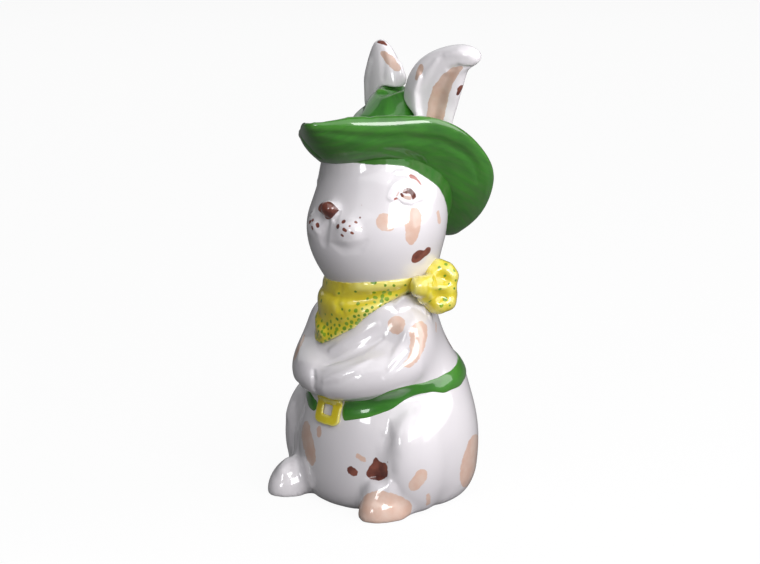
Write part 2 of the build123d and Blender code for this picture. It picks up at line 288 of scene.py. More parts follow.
def spreadOut(values, edges, rounds):
    return relax(np.stack([values] * 3, 1), edges, rounds)[:, 0]


def smoothPiece(name, nodes, grain, rounds=8):
    piece = voxelPiece(joinedForm(nodes), name, grain)
    edges = readEdges(piece)
    return piece, edges, relax(readPoints(piece), edges, rounds)


def fillHollows(piece, points, edges, rounds, weight=1.0):
    # raises the hollows between luted members as wet slip does, and leaves what bulges
    for _ in range(rounds // 5):
        writePoints(piece, points)
        normals = readNormals(piece)
        lift = np.einsum("ij,ij->i", relax(points, edges, 5, weight) - points, normals)
        points = points + normals * np.maximum(lift, 0)[:, None]
    return points


def nearestGap(points, tree, reach):
    gaps = np.full(len(points), reach)
    for row, point in enumerate(points):
        hit = tree.find_nearest(point, reach)
        if hit[3] is not None:
            gaps[row] = hit[3]
    return gaps


def seamNearness(points, nodes, reach):
    # 1 where two members meet, and 0 from reach away
    gaps = []
    for node in nodes:
        gaps.append(nearestGap(points, surfaceTree(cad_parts[node]), reach))
    return 1 - easeIn(np.sort(gaps, 0)[1] / reach)


def azimuths(points):
    # degrees from the face towards the rabbit's left, from -180 to 180
    return np.degrees(np.arctan2(points[:, 0], -points[:, 1]))


def outwardShare(points, normals):
    away = points[:, :2] / np.maximum(np.linalg.norm(points[:, :2], axis=1), tiny)[:, None]
    return np.einsum("ij,ij->i", away, normals[:, :2])


def outsideHit(tree, azimuth, height):
    # the place and normal met by a level line from outside; azimuth in degrees, height in millimetres
    outward = wayTo(azimuth, 0)
    return tree.ray_cast(outward * outsideReach + Vector((0, 0, height * mm)), -outward)[:2]


# strokes of a tool or a brush

def strokeField(points, stops):
    # distance to a brush stroke's edge, below 0 inside it
    best = np.full(len(points), np.inf)
    pairs = list(zip(stops[:-1], stops[1:])) or [(stops[0], stops[0])]
    for (start, startRadius), (end, endRadius) in pairs:
        run = end - start
        share = np.clip((points - start) @ run / max(float(run @ run), tiny ** 2), 0, 1)
        gap = np.linalg.norm(points - start - share[:, None] * run, axis=1)
        best = np.minimum(best, gap - startRadius - (endRadius - startRadius) * share)
    return best


def swell(points, normals, stops, height):
    # raises, or with a height below 0 presses in, a soft stroke whose radius is its whole reach
    reach = max(radius for _, radius in stops)
    share = np.clip(strokeField(points, stops) / reach + 1, 0, 1)
    return points + normals * (height * (1 - share ** 2) ** 2)[:, None]


def carve(piece, points, tree, strokes, mirrored=False):
    # strokes are ([(pixel x, pixel y, reach in pixels)], height in millimetres)
    writePoints(piece, points)
    normals = readNormals(piece)
    for stops, height in strokes:
        for flip in (False, True) if mirrored else (False,):
            points = swell(points, normals, tracedStroke(tree, stops, flip), height * mm)
    return points


def pull(points, tree, strokes):
    # moves strokes by (right, up, towards the camera) in millimetres
    for stops, (across, above, nearer) in strokes:
        way = np.array(rightAxis) * across + np.array(upAxis) * above + np.array(backAxis) * nearer
        points = swell(points, np.broadcast_to(way * mm, points.shape), tracedStroke(tree, stops), 1.0)
    return points


def shaped(piece, points, tree, facts):
    points = carve(piece, points, tree, facts["carving"])
    return pull(points, tree, facts.get("pulled", []))


def tracedRound(tree, stops):
    # stops are (azimuth in degrees, height in millimetres, radius in millimetres)
    return [
        (np.array(outsideHit(tree, azimuth, height)[0]), radius * mm) for azimuth, height, radius in stops
    ]


def paintField(points, tree, strokes, mirrored=()):
    best = np.full(len(points), unpainted)
    for flip, marks in ((False, strokes), (True, mirrored)):
        for stops in marks:
            best = np.minimum(best, strokeField(points, tracedStroke(tree, stops, flip)))
    return best


def storeField(piece, name, values):
    # one number or one vector at every vertex
    kind, key = ("FLOAT", "value") if values.ndim == 1 else ("FLOAT_VECTOR", "vector")
    layer = piece.data.attributes.new(name, kind, "POINT")
    layer.data.foreach_set(key, values.astype(np.float32).ravel())


def storePaint(piece, points, tree, facts):
    # strokes and outlines over the photograph, and spots on the sides that it doesn't show
    for colour in ("beige", "brown"):
        field = paintField(points, tree, facts[colour])
        for outline in facts.get(colour + "Outlines", []):
            field = np.minimum(field, outlineField(points, tree, outline))
        for stops in facts.get(colour + "Unseen", []):
            field = np.minimum(field, strokeField(points, tracedRound(tree, stops)))
        storeField(piece, colour, field)


def storeBulge(piece, points, edges):
    # how sharply the surface bulges, above 0, or is hollow, below 0, in 1 / millimetre
    bend = np.einsum("ij,ij->i", points - relax(points, edges, 1, strength=1.0), readNormals(piece))
    length = np.linalg.norm(points[edges[:, 0]] - points[edges[:, 1]], axis=1).mean()
    storeField(piece, "bulge", spreadOut(bend * 2 / length ** 2 * mm, edges, 10))


def storeBrush(piece, points):
    # places on a ring, so that brush streaks run round the piece, and how far across the ring
    away = points[:, :2]
    length = np.maximum(np.linalg.norm(away, axis=1), tiny)
    ring = away / length[:, None] * brushing["radius"]
    storeField(piece, "brush", np.column_stack([ring, (length + points[:, 2]) * brushing["squeeze"]]))


def dress(piece, nodes, material):
    piece.data.materials.append(material)
    piece.data.shade_smooth()
    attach(piece, "root")
    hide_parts(*nodes)


# glazes

glazeColours = {
    "white": (0.79, 0.765, 0.785),
    "whiteThin": (0.735, 0.71, 0.735),
    # a brighter white painted on as light, on the lids and the ears
    "whitePaintedLight": (0.93, 0.90, 0.925),
    "beige": (0.70, 0.47, 0.37),
    "beigeThin": (0.74, 0.56, 0.47),
    "brown": (0.085, 0.018, 0.012),
    "brownThin": (0.24, 0.07, 0.045),
    "rust": (0.42, 0.14, 0.11),
    "green": (0.045, 0.24, 0.018),
    "greenDeep": (0.028, 0.15, 0.014),
    "greenPale": (0.13, 0.36, 0.045),
    # a darker green painted on as shade under the brim
    "greenShaded": (0.06, 0.16, 0.035),
    "yellow": (0.78, 0.68, 0.04),
    "yellowDeep": (0.68, 0.55, 0.02),
    "yellowPale": (0.86, 0.80, 0.26),
    "pale": (0.80, 0.60, 0.60),
    "dot": (0.10, 0.25, 0.012),
    "dotThin": (0.26, 0.42, 0.02),
}

gloss = {
    "Roughness": 0.32,
    "IOR": 1.45,
    "Coat Weight": 1.0,
    "Coat Roughness": 0.025,
    "Coat IOR": 1.6,
}

glazeWave = {"height": 0.05 * mm, "scale": 95.0}
brushing = {"radius": 45 * mm, "squeeze": 4.0}


def clearedTree(material):
    material.use_nodes = True
    tree = material.node_tree
    tree.nodes.clear()
    return tree, tree.nodes.new("ShaderNodeOutputMaterial").inputs["Surface"]


def newGlaze(name):
    material = bpy.data.materials.new(name)
    tree, surface = clearedTree(material)
    shader = tree.nodes.new("ShaderNodeBsdfPrincipled")
    tree.links.new(shader.outputs["BSDF"], surface)
    return material, tree, shader


def addAttribute(tree, name, output="Fac"):
    made = tree.nodes.new("ShaderNodeAttribute")
    made.attribute_type = "GEOMETRY"
    made.attribute_name = name
    return made.outputs[output]


def addNoise(tree, scale, detail=2.0, places=None):
    if places is None:
        places = tree.nodes.new("ShaderNodeTexCoord").outputs["Object"]
    noise = tree.nodes.new("ShaderNodeTexNoise")
    noise.inputs["Scale"].default_value = scale
    noise.inputs["Detail"].default_value = detail
    tree.links.new(places, noise.inputs["Vector"])
    return noise.outputs["Fac"]


def addMath(tree, operation, first, second):
    made = tree.nodes.new("ShaderNodeMath")
    made.operation = operation
    for socket, value in zip(made.inputs, (first, second)):
        if isinstance(value, (int, float)):
            socket.default_value = value
        else:
            tree.links.new(value, socket)
    return made.outputs[0]


def addRange(tree, value, low, high, lowOut=0.0, highOut=1.0):
    made = tree.nodes.new("ShaderNodeMapRange")
    made.inputs["From Min"].default_value = low
    made.inputs["From Max"].default_value = high
    made.inputs["To Min"].default_value = lowOut
    made.inputs["To Max"].default_value = highOut
    tree.links.new(value, made.inputs["Value"])
    return made.outputs["Result"]


def addMixColour(tree, factor, first, second):
    made = tree.nodes.new("ShaderNodeMix")
    made.data_type = "RGBA"
    sockets = [made.inputs[0]] + [s for s in made.inputs if s.type == "RGBA"]
    for socket, value in zip(sockets, (factor, first, second)):
        if isinstance(value, tuple):
            socket.default_value = (*value, 1)
        elif isinstance(value, (int, float)):
            socket.default_value = value
        else:
            tree.links.new(value, socket)
    return [s for s in made.outputs if s.type == "RGBA"][0]


def addField(tree, name, rough, scale=450.0):
    # a stored distance with its edge made uneven, in millimetres
    wander = addRange(tree, addNoise(tree, scale, 3.0), 0.3, 0.7, -rough, rough)
    return addMath(tree, "ADD", addMath(tree, "MULTIPLY", addAttribute(tree, name), 1 / mm), wander)


def glossOver(tree, shader, colour, dulled=None):
    # dulled falls below 1 where the glaze is thin, such as under the brim
    tree.links.new(colour, shader.inputs["Base Color"])
    for socket, value in gloss.items():
        shader.inputs[socket].default_value = value
    if dulled is not None:
        tree.links.new(dulled, shader.inputs["Coat Weight"])
        tree.links.new(addMath(tree, "MULTIPLY", dulled, 0.5), shader.inputs["Specular IOR Level"])
    bump = tree.nodes.new("ShaderNodeBump")
    bump.inputs["Strength"].default_value = 1.0
    bump.inputs["Distance"].default_value = glazeWave["height"]
    tree.links.new(addNoise(tree, glazeWave["scale"], 1.5), bump.inputs["Height"])
    for socket in ("Normal", "Coat Normal"):
        tree.links.new(bump.outputs["Normal"], shader.inputs[socket])


def brushedPaint(tree, under, field, thick, thin, edge=0.12):
    # colour laid over what is under it wherever the field is below 0, deeper where it pooled
    cover = addRange(tree, field, edge, -edge)
    pool = addRange(tree, addNoise(tree, 160.0, 3.0), 0.35, 0.65)
    paint = addMixColour(tree, pool, thick, thin)
    return addMixColour(tree, cover, under, paint)


def bulgeMix(tree, colour, thin, pooled, amount=0.6):
    # paler glaze over what bulges and darker glaze in what is hollow: partly thin and pooled glaze, partly
    # painted highlight on rims and painted shade in hollows
    bulge = addAttribute(tree, "bulge")
    colour = addMixColour(tree, addRange(tree, bulge, 0.06, 0.26, 0.0, amount), colour, thin)
    return addMixColour(tree, addRange(tree, bulge, -0.04, -0.2, 0.0, amount), colour, pooled)


def makeWhite(name, fields, paintedBrightness=0.0, dulledBy=None):
    # fields are (stored distance, thick colour, thin colour, unevenness of the edge in millimetres)
    material, tree, shader = newGlaze(name)
    clouds = addRange(tree, addNoise(tree, 28.0), 0.35, 0.65)
    colour = addMixColour(tree, clouds, glazeColours["white"], glazeColours["whiteThin"])
    # painted light: a share of a brighter white laid over the whole glaze, used on the ears
    colour = addMixColour(tree, paintedBrightness, colour, glazeColours["whitePaintedLight"])
    dulled = None
    for field, thick, thin, rough in fields:
        edge = addField(tree, field, rough)
        if field == dulledBy:
            dulled = addRange(tree, edge, 0.3, -0.6, 1.0, 0.1)
        colour = brushedPaint(tree, colour, edge, glazeColours[thick], glazeColours[thin])
    glossOver(tree, shader, colour, dulled)
    return material


def makeGreen(name, under=False):
    material, tree, shader = newGlaze(name)
    streaks = addRange(tree, addNoise(tree, 60.0, 3.0, addAttribute(tree, "brush", "Vector")), 0.32, 0.68)
    colour = addMixColour(tree, streaks, glazeColours["greenDeep"], glazeColours["green"])
    dulled = None
    if under:
        # painted shade: places facing downwards are darkened towards a darker green in uneven patches
        below = addAttribute(tree, "under")
        shadeNoise = addNoise(tree, 90.0, 3.0, addAttribute(tree, "brush", "Vector"))
        underShade = addMath(tree, "MULTIPLY", addRange(tree, shadeNoise, 0.4, 0.62, 0.25, 1.0), below)
        colour = addMixColour(tree, underShade, colour, glazeColours["greenShaded"])
        dulled = addRange(tree, below, 0.3, 0.9, 1.0, 0.4)
    colour = bulgeMix(tree, colour, glazeColours["greenPale"], glazeColours["greenDeep"], 0.4)
    glossOver(tree, shader, colour, dulled)
    return material


def makeYellow(name, dotted):
    material, tree, shader = newGlaze(name)
    strokes = addRange(tree, addNoise(tree, 110.0, 3.0), 0.35, 0.65)
    colour = addMixColour(tree, strokes, glazeColours["yellow"], glazeColours["yellowDeep"])
    colour = bulgeMix(tree, colour, glazeColours["yellowPale"], glazeColours["yellowDeep"])
    if dotted:
        dots = addField(tree, "dots", 0.12, 900.0)
        colour = brushedPaint(tree, colour, dots, glazeColours["dot"], glazeColours["dotThin"])
    glossOver(tree, shader, colour)
    return material


# the white body: torso, arms, haunches, feet and tail luted together

body = {
    "nodes": [
        "torso", "arm_left", "arm_right", "haunch_left", "haunch_right", "foot_left", "foot_right", "tail",
    ],
    "grain": 1.05 * mm,
    "seamReach": 6 * mm,
    "luting": 60,
    "armFill": {"low": 60 * mm, "lowRamp": 8 * mm, "front": 6 * mm, "frontRamp": 14 * mm, "rounds": 120},
    "sides": {
        "turnStep": 2, "rowStep": 1.5 * mm, "height": 125 * mm, "outward": 0.15, "patch": 4,
        "window": 12, "soften": 4, "from": 62, "to": 172, "ramp": 16, "floor": 8 * mm,
    },
    "sideSpread": 30,
    "sideRelax": 60,
    "outwardRamp": 0.25,
    "backs": [  # smoothed behind the arms and behind the haunches
        {"from": 66, "to": 160, "ramp": 14, "low": 68 * mm, "high": 118 * mm, "rise": 10 * mm, "rounds": 380},
        {"from": 84, "to": 165, "ramp": 14, "low": 10 * mm, "high": 66 * mm, "rise": 10 * mm, "rounds": 220},
    ],
    "carving": [  # pixel strokes, height in millimetres
        ([(313.5, 371, 3), (314, 380, 4), (315, 391, 3)], -1.3),
        ([(331, 350, 5), (343, 343, 7), (357, 336, 7), (378, 324, 4)], 1.0),
        ([(328, 364, 5), (345, 358, 7), (362, 350, 7), (382, 338, 4)], -0.8),
        ([(324, 381, 5), (338, 376, 8), (354, 369, 8), (370, 360, 4)], 1.0),
        ([(384, 377, 3), (396, 365, 5), (409, 351, 3)], -0.8),
        ([(388, 368, 4), (398, 350, 7), (406, 335, 6), (413, 321, 3)], 0.7),
        ([(396, 306, 3), (405, 302, 5), (413, 300.5, 5), (420, 304, 5), (425, 314, 3)], 0.9),
        ([(293, 402, 12), (290, 425, 15), (290, 450, 12)], -2.4),
        ([(290, 462, 14), (283, 470, 12)], 1.6),
        ([(370, 490, 14), (388, 492, 14)], 2.0),
        ([(388, 424, 6), (388, 440, 14), (389, 456, 15), (391, 472, 10)], -1.2),
    ],
    "pulled": [
        ([(287, 403, 13), (285, 428, 16), (287, 452, 13)], (2.6, 0, 0)),
        ([(374, 488, 12), (388, 487, 13)], (0, 2.0, 1.5)),
        ([(404, 302, 8), (414, 302, 10), (424, 308, 11), (430, 316, 8)], (0.4, 1.2, 1.6)),
        ([(402, 303, 11), (412, 301, 11), (422, 305, 11)], (0.3, 2.6, 1.2)),
    ],
    "beige": [
        [(396.5, 325, 9)],
        [(436, 323, 1.6), (436, 331, 1.6)],
        [(304, 336, 2), (299, 346, 4.5), (295, 358, 3.5)],
        [(319, 429, 3.4), (319, 434, 3.8)],
        [(358, 456, 2.6), (364, 460, 2.4)],
        [(415, 485, 6.5), (421, 476.5, 7.5)],
        [(428, 495, 2.2), (428.5, 503, 3)],
    ],
    "beigeOutlines": [
        [
            (414.7, 323.7), (420, 321), (425.3, 322.6), (428.5, 331), (425.3, 346), (419, 360.7),
            (408.4, 369), (402, 365.5), (408.5, 356.5), (410.5, 343.8), (409, 329),
        ],
        [
            (307.7, 419), (310.8, 430), (313.5, 443.5), (316.5, 457), (314, 466.5), (308.5, 463.7),
            (304.6, 451), (301, 437.7), (302.5, 425),
        ],
        [
            (359, 505), (365, 495), (371, 491.5), (380, 490), (392, 493), (403, 497), (412, 503),
            (412, 512), (407, 519), (392, 522), (376, 526), (362, 522), (356, 512),
        ],
        [
            (476, 433), (482, 440), (482, 465), (472, 484), (464, 489), (459, 480), (461, 464),
            (466, 448), (471, 437),
        ],
    ],
    "brownOutlines": [
        [
            (346.5, 469), (349, 465.5), (354.5, 467), (358, 471.5), (357.5, 475.5), (353.5, 476.5),
            (348.5, 474),
        ],
        [
            (366, 473), (369, 467), (372.5, 463.5), (374.5, 457.5), (377.5, 457.5), (380, 462.5),
            (385, 462), (388, 466.5), (388, 473), (386, 478.5), (380, 480.5), (372.5, 480), (367, 477.5),
        ],
    ],
    "brown": [
        [(387.5, 462.5, 0.8)],
    ],
    "beigeUnseen": [  # azimuth from the face towards the rabbit's left, height and radius in millimetres
        [(-62, 34, 5), (-66, 46, 8)],
        [(-105, 88, 6), (-112, 80, 4)],
        [(150, 40, 7), (158, 50, 8.5)],
        [(-150, 58, 4.5)],
        [(176, 92, 5.5), (170, 85, 4)],
        [(-140, 22, 5), (-134, 17, 6)],
        [(205, 30, 3.5)],
    ],
    "brownUnseen": [
        [(-84, 24, 3.4), (-87, 28, 3.8)],
        [(132, 84, 3), (136, 80, 3.6)],
        [(-168, 42, 2.6)],
    ],
}


def closeValleys(points, normals, facts):
    # fills what lies behind an arm or haunch up to the smooth side that the casting has
    azimuth = azimuths(points) % 360
    radius = np.linalg.norm(points[:, :2], axis=1)
    outer = outwardShare(points, normals) > facts["outward"]
    turns, rows = int(360 / facts["turnStep"]), int(facts["height"] / facts["rowStep"]) + 1
    turn = np.minimum((azimuth / facts["turnStep"]).astype(int), turns - 1)
    row = np.clip((points[:, 2] / facts["rowStep"]).astype(int), 0, rows - 1)
    grid = np.zeros((turns, rows))
    np.maximum.at(grid, (turn[outer], row[outer]), radius[outer])
    for _ in range(facts["patch"]):
        near = np.maximum(np.maximum(np.roll(grid, 1, 0), np.roll(grid, -1, 0)), np.roll(grid, 1, 1))
        grid = np.where(grid == 0, near, grid)
    window = range(-facts["window"], facts["window"] + 1)
    widened = np.max([np.roll(grid, step, 0) for step in window], 0)
    closed = np.min([np.roll(widened, step, 0) for step in window], 0)
    for _ in range(facts["soften"]):
        closed = (np.roll(closed, 1, 0) + 2 * closed + np.roll(closed, -1, 0)) / 4
        closed[:, 1:-1] = (closed[:, :-2] + 2 * closed[:, 1:-1] + closed[:, 2:]) / 4
    across = (azimuth / facts["turnStep"] - 0.5) % turns
    low = across.astype(int)
    share = across - low
    goal = closed[low % turns, row] * (1 - share) + closed[(low + 1) % turns, row] * share
    fromFront = np.minimum(azimuth, 360 - azimuth)
    mask = easeBetween(fromFront, facts["from"], facts["to"], facts["ramp"])
    mask = mask * easeIn((points[:, 2] - facts["floor"]) / facts["floor"])
    lift = np.where(outer, np.maximum(goal - radius, 0), 0) * mask
    return points * np.column_stack([1 + lift / np.maximum(radius, tiny)] * 2 + [np.ones(len(points))])


def makeBody():
    piece, edges, points = smoothPiece("bodyGlazed", body["nodes"], body["grain"], 6)
    points = relax(points, edges, body["luting"], seamNearness(points, body["nodes"], body["seamReach"]))
    facts = body["armFill"]
    high = easeIn((points[:, 2] - facts["low"]) / facts["lowRamp"])
    front = easeIn((-points[:, 1] - facts["front"]) / facts["frontRamp"]) * high
    points = fillHollows(piece, points, edges, facts["rounds"], front)
    writePoints(piece, points)
    closed = closeValleys(points, readNormals(piece), body["sides"])
    moved = easeIn(np.linalg.norm(closed - points, axis=1) / mm)
    moved = np.clip(spreadOut(moved, edges, body["sideSpread"]) * 2, 0, 1)
    points = relax(closed, edges, body["sideRelax"], moved)
    writePoints(piece, points)
    outer = easeIn(outwardShare(points, readNormals(piece)) / body["outwardRamp"])
    for facts in body["backs"]:
        fromFront = np.abs(azimuths(points))
        mask = easeBetween(fromFront, facts["from"], facts["to"], facts["ramp"])
        mask = mask * easeBetween(points[:, 2], facts["low"], facts["high"], facts["rise"])
        points = relax(points, edges, facts["rounds"], mask * outer)
    points = relax(points, edges, 3, strength=0.35)
    points = shaped(piece, points, settle(piece, points), body)
    tree = settle(piece, points)
    storePaint(piece, points, tree, body)
    dress(piece, body["nodes"], makeWhite("whiteGlaze", [
        ("beige", "beige", "beigeThin", 0.35), ("brown", "brown", "brownThin", 0.3),
    ]))
    print("body carved and painted")
    return tree


# the head with its muzzle, nose and eyes

head = {
    "nodes": ["head", "nose", "eye_left", "eye_right"],
    "grain": 0.91 * mm,
    "muzzle": (0, -34 * mm, 148 * mm),
    "muzzleReach": 20 * mm,
    "muzzleCore": 0.3,
    "muzzleFill": 40,
    "muzzleRelax": 17,
    "mouth": [
        ([(328.5, 220, 5), (326, 229, 8), (324, 241, 9)], -0.9),
        ([(331, 243, 4), (343, 248.5, 9), (357, 247.5, 9), (367, 241, 4)], -0.5),
        ([(339, 212, 3.5), (335, 219, 5)], -0.6),
        ([(341, 226, 9), (351, 228, 12)], 0.8),
        ([(314, 225, 8), (317, 232, 6)], 0.6),
    ],
    "lids": [  # with the brow, on both sides
        ([(391, 197, 6), (395, 189, 8), (400.5, 184.5, 8.5), (407, 183, 9), (413.5, 185.5, 8.5),
            (418.5, 191, 8), (420, 197, 6)], 1.0),
        ([(407, 195, 7.5), (409, 195.5, 7.5)], 0.75),
        ([(399, 198, 2.5), (404, 201.8, 3), (411, 203, 3), (417, 200, 2.5)], 0.35),
        ([(396, 172, 3), (408, 171.5, 5), (420, 177, 3)], 0.4),
    ],
    "finer": [  # pixel, reach, and whether the other side follows
        ((328.5, 217), 13 * mm, False), ((350, 226), 12 * mm, False),
        ((407, 190), 11.5 * mm, True), ((407, 193), 7 * mm, True),
    ],
    "eyeReach": 13 * mm,
    "lidOutline": [
        (386.5, 199.5), (388.5, 192), (392, 185.5), (398, 180.5), (407, 177.8), (415, 180.2),
        (420.5, 186), (423.5, 193), (424, 199.5), (419, 200.5), (417.5, 202), (410, 204), (403, 202.5),
        (399, 200),
    ],
    "noseOutline": [
        (318, 207.5), (320.5, 203.5), (325.5, 201.2), (331.5, 202), (335.5, 206), (339.8, 209.8),
        (335, 214.5), (330.5, 219.6), (326, 219.4), (322.3, 213.5), (318.2, 210.5),
    ],
    "irisOutline": [
        (402.2, 190.5), (405, 188), (408.5, 187.4), (412.3, 189.4), (415.6, 193.6), (416.4, 197),
        (414, 199.2), (412.6, 200.6), (412, 197.4), (410.6, 194.6), (409, 193.8), (405.8, 193.8),
        (402.6, 193.2),
    ],
    "browOutline": [
        (408.6, 174.6), (411, 174), (415, 176), (419, 180), (422.4, 186), (420.4, 185), (416.6, 180.6),
        (413.6, 178.6), (410, 178.4),
    ],
    "brown": [
        [(343.6, 221.6, 2.3)], [(337.7, 226.5, 2.5)], [(343.8, 229.4, 1.8), (345.6, 230.6, 1.5)],
        [(349.7, 226.1, 1.2)], [(351.5, 232.7, 1.3), (352.8, 233.4, 1.2)],
        [(341.6, 235, 1.2), (342.8, 235.9, 1.1)], [(355.6, 222, 1.3), (356.6, 222.6, 1.1)],
        [(360, 217.6, 0.9)], [(361.1, 227.8, 0.8)], [(310.6, 216, 1.2)],
        [(312.6, 219.6, 1.4), (312.8, 220.6, 1.4)], [(309.4, 221.4, 1.0), (309.4, 224, 1.0)],
        [(317.3, 224.6, 2.0), (317.7, 225.8, 2.0)], [(312, 227, 1.5), (312.6, 229, 1.5)],
        [(401.5, 194, 1.25), (402.5, 196.2, 1.25)],
    ],
    "farBrown": [
        [(401.5, 194, 1.25), (402.5, 196.2, 1.25)],
        [(344.6, 229.7, 2.1)], [(352, 232.9, 1.5)], [(355.9, 222.1, 1.3)], [(361.1, 228, 0.9)],
    ],
    "rust": [[(395.2, 199, 1.3), (396.4, 198.6, 1.2)], [(361.5, 205, 0.6)]],
    "pale": [[(404.5, 196.4, 2.2), (410, 197.6, 2.4)], [(397, 195.5, 0.8), (398.5, 192.5, 0.8)]],
    "beige": [
        [(384.8, 222, 8.5), (387, 222.8, 8.5)],
        [(438, 213, 2.6), (439.4, 221.5, 3)],
    ],
    "farBeige": [[(384.8, 222, 8.5), (387, 222.8, 8.5)], [(424, 238, 6), (430, 230, 4)]],
    "cheekOutline": [
        (406, 209.5), (413, 207.5), (420.5, 209), (422, 224), (416.5, 241), (411, 246), (405, 241),
        (406, 231), (403.5, 220),
    ],
    "jawOutline": [
        (411, 260.5), (412.5, 254.5), (417, 250.6), (421.5, 249.8), (424.5, 250.8), (427, 247),
        (431, 247), (430.5, 252), (427.5, 255), (424, 257), (421, 260.5), (416, 263.2), (412, 262.6),
    ],
    "hairline": [
        (327.7, 161), (338, 160.3), (353.8, 160.3), (368, 161.6), (386.5, 165), (406, 166.2), (419, 173),
        (431, 181), (440, 188.4), (445.3, 200.2), (448, 213.3), (447, 225), (444.7, 236.8), (480, 242),
        (480, 140), (327, 140),
    ],
    "hairlineReach": 75 * mm,
    "hairlineFrom": -8 * mm,
    "facing": -0.1,
    "greenFront": 0.4 * mm,  # how far the hat's colour runs down the head, in front and at the left
    "greenLeft": 3.0 * mm,
    "leftFrom": 2 * mm,
    "leftRamp": 22 * mm,
    "gapReach": 12 * mm,
    "filletRise": 2.0 * mm,
    "filletReach": 8 * mm,
}


def bothSides(points, tree, outline):
    near = outlineField(points, tree, outline, reach=head["eyeReach"])
    return np.minimum(near, outlineField(points, tree, outline, True, head["eyeReach"]))


def makeHead(hatTree):
    piece, edges, points = smoothPiece("headGlazed", head["nodes"], head["grain"], 6)
    away = np.linalg.norm(points - np.array(head["muzzle"]), axis=1)
    near = 1 - easeIn(away / head["muzzleReach"] - head["muzzleCore"])
    points = fillHollows(piece, points, edges, head["muzzleFill"], near)
    points = relax(points, edges, head["muzzleRelax"], near)
    tree = settle(piece, points)
    finer = []
    for pixel, reach, mirrored in head["finer"]:
        place = tracePoint(tree, *pixel)
        finer.append((place, reach))
        if mirrored:
            finer.append((place * acrossMiddle, reach))
    refineNear(piece, finer)
    edges = readEdges(piece)
    points = relax(readPoints(piece), edges, 2, strength=0.3)
    points = carve(piece, points, tree, head["mouth"])
    points = carve(piece, points, tree, head["lids"], True)
    gap = nearestGap(points, hatTree, head["gapReach"])
    writePoints(piece, points)
    normals = readNormals(piece)
    fillet = np.clip(1 - gap / head["filletReach"], 0, 1) ** 2
    points = points + normals * (head["filletRise"] * fillet)[:, None]
    tree = settle(piece, points)
    brown = paintField(points, tree, head["brown"], head["farBrown"])
    for outline in ("noseOutline", "jawOutline"):
        brown = np.minimum(brown, outlineField(points, tree, head[outline]))
    brown = np.minimum(brown, bothSides(points, tree, head["irisOutline"]))
    leftShare = easeIn((points[:, 0] - head["leftFrom"]) / head["leftRamp"])
    runDown = head["greenFront"] + (head["greenLeft"] - head["greenFront"]) * leftShare
    hairline = outlineField(points, tree, head["hairline"], reach=head["hairlineReach"])
    facing = (normals @ np.array(backAxis) > head["facing"]) & (points[:, 0] > head["hairlineFrom"])
    storeField(piece, "hatRun", np.minimum(gap - runDown, np.where(facing, hairline, unpainted)))
    # painted highlight: the lid's arch is painted a brighter white than the face
    storeField(piece, "lid", bothSides(points, tree, head["lidOutline"]))
    storeField(piece, "brown", brown)
    rust = paintField(points, tree, head["rust"], head["rust"][:1])
    storeField(piece, "rust", np.minimum(rust, bothSides(points, tree, head["browOutline"])))
    beige = paintField(points, tree, head["beige"], head["farBeige"])
    storeField(piece, "beige", np.minimum(beige, outlineField(points, tree, head["cheekOutline"])))
    storeField(piece, "pale", paintField(points, tree, head["pale"], head["pale"]))
    # the hat's green runs down the head under the brim in the darker green painted as shade there
    dress(piece, head["nodes"], makeWhite("faceGlaze", [
        ("beige", "beige", "beigeThin", 0.3), ("lid", "whitePaintedLight", "whitePaintedLight", 0.1),
        ("pale", "pale", "beigeThin", 0.1), ("rust", "rust", "rust", 0.08),
        ("brown", "brown", "brownThin", 0.08), ("hatRun", "greenShaded", "greenDeep", 0.12),
    ], dulledBy="hatRun"))
    print("head carved and painted")
    return tree


# the hat: brim and crown, and the ears through it

hat = {
    "nodes": ["hat_brim", "hat_crown"],
    "grain": 0.75 * mm,
    "seamReach": 5 * mm,
    "seamFill": 60,
    "seamRelax": 20,
    "tipFrom": 40 * mm,
    "tipRamp": 10 * mm,
    "tipRelax": 60,
    "carving": [
        ([(299, 130, 6), (305, 127, 7), (318, 126, 8), (345, 127, 9), (373, 128, 9), (407, 127, 9),
            (430, 130, 9), (453, 138, 9), (472, 151, 8), (484, 167, 7), (487, 185, 6), (483, 203, 4)], 0.45),
        ([(310, 131, 3), (334, 134, 6), (373.4, 138.5, 7), (407.4, 138, 7), (441.4, 141, 7), (463, 151, 7),
            (475, 164, 6), (478, 182, 4)], -0.7),
        ([(302, 140, 8), (309, 149, 10), (318, 157, 7)], -2.2),
        ([(385, 150, 5), (402, 153, 8), (420, 161, 8), (434, 173, 8), (444, 190, 5)], -0.6),
        ([(380, 91, 7), (386, 93, 9), (394, 93, 8)], 1.6),
    ],
    "pulled": [
        ([(298, 124, 15), (304, 121, 14), (312, 122, 11)], (0.4, -3.4, 0)),
        ([(325, 119, 7), (345, 117, 8), (370, 116, 6)], (0, -0.7, 0)),
        ([(359, 112, 9), (366, 99, 9), (374, 90, 7)], (1.5, 0, 0)),
    ],
}


def makeHat():
    piece, edges, points = smoothPiece("hatGlazed", hat["nodes"], hat["grain"])
    seam = seamNearness(points, hat["nodes"], hat["seamReach"])
    points = fillHollows(piece, points, edges, hat["seamFill"], seam)
    points = relax(points, edges, hat["seamRelax"], seam)
    tip = easeIn((-points[:, 1] - hat["tipFrom"]) / hat["tipRamp"])
    points = relax(points, edges, hat["tipRelax"], tip)
    points = relax(shaped(piece, points, settle(piece, points), hat), edges, 4)
    tree = settle(piece, points)
    storeBulge(piece, points, edges)
    # how far each place faces downwards, for the painted shade and the duller coat under the brim
    storeField(piece, "under", easeIn(-readNormals(piece)[:, 2] + 0.1))
    storeBrush(piece, points)
    dress(piece, hat["nodes"], makeGreen("hatGreen", True))
    print("hat carved")
    return tree


